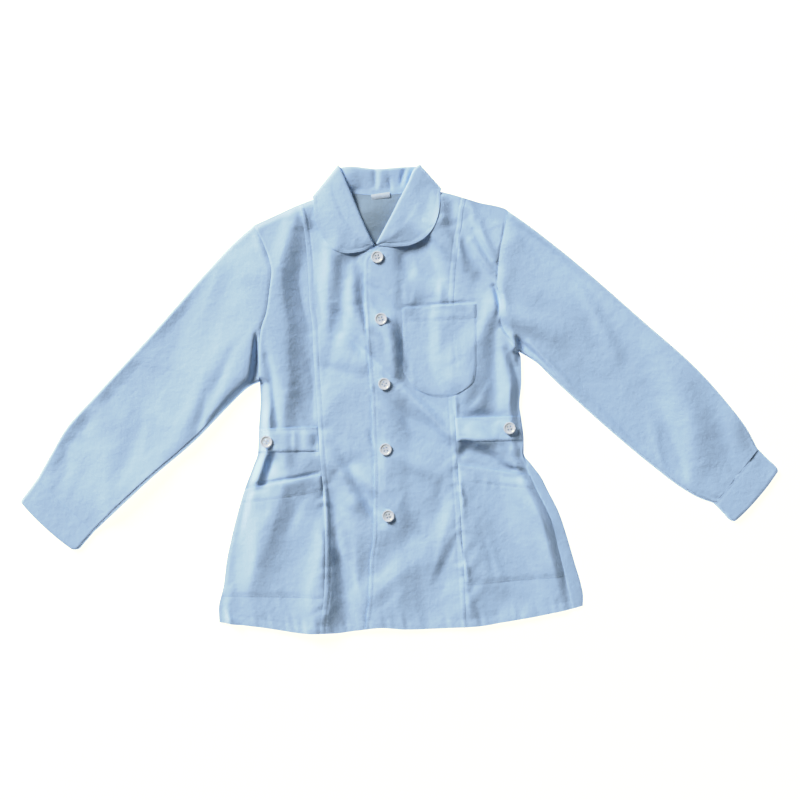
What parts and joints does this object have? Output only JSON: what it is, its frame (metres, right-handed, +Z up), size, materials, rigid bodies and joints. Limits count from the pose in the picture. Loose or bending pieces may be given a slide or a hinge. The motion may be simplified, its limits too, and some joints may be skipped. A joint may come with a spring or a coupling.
{
  "type": "nurse uniform jacket",
  "caption": "Long-sleeved nurse jacket laid flat, with a rounded collar, button front, princess seams, chest and hip pockets, waist tabs and band cuffs.",
  "frame": {"origin": "middle of the jacket's box on the surface it lies on", "axes": "+X across the garment towards the wearer's left sleeve, +Y from hem to collar, +Z up from the surface through the cloth"},
  "size_m": [1.1352, 0.7016, 0.011],
  "materials": {
    "cloth": "matt light blue poly-cotton twill",
    "trim": "the same cloth, doubled and pressed flat",
    "button": "pearly white resin, polished",
    "label": "smooth woven tape, bare"
  },
  "bodies": {
    "root": {"back_panel": "cloth", "front_centre_right": "cloth", "front_centre_left": "cloth", "front_side_right": "cloth", "front_side_left": "cloth", "sleeve_right": "cloth", "sleeve_left": "cloth", "chest_pocket": "cloth", "hip_pocket_right": "cloth", "hip_pocket_left": "cloth", "collar": "trim", "cuff_right": "trim", "cuff_left": "trim", "waist_tab_right": "trim", "waist_tab_left": "trim", "front_button_1": "button", "front_button_2": "button", "front_button_3": "button", "front_button_4": "button", "front_button_5": "button", "tab_button_right": "button", "tab_button_left": "button", "size_label": "label"}
  },
  "joints": []
}
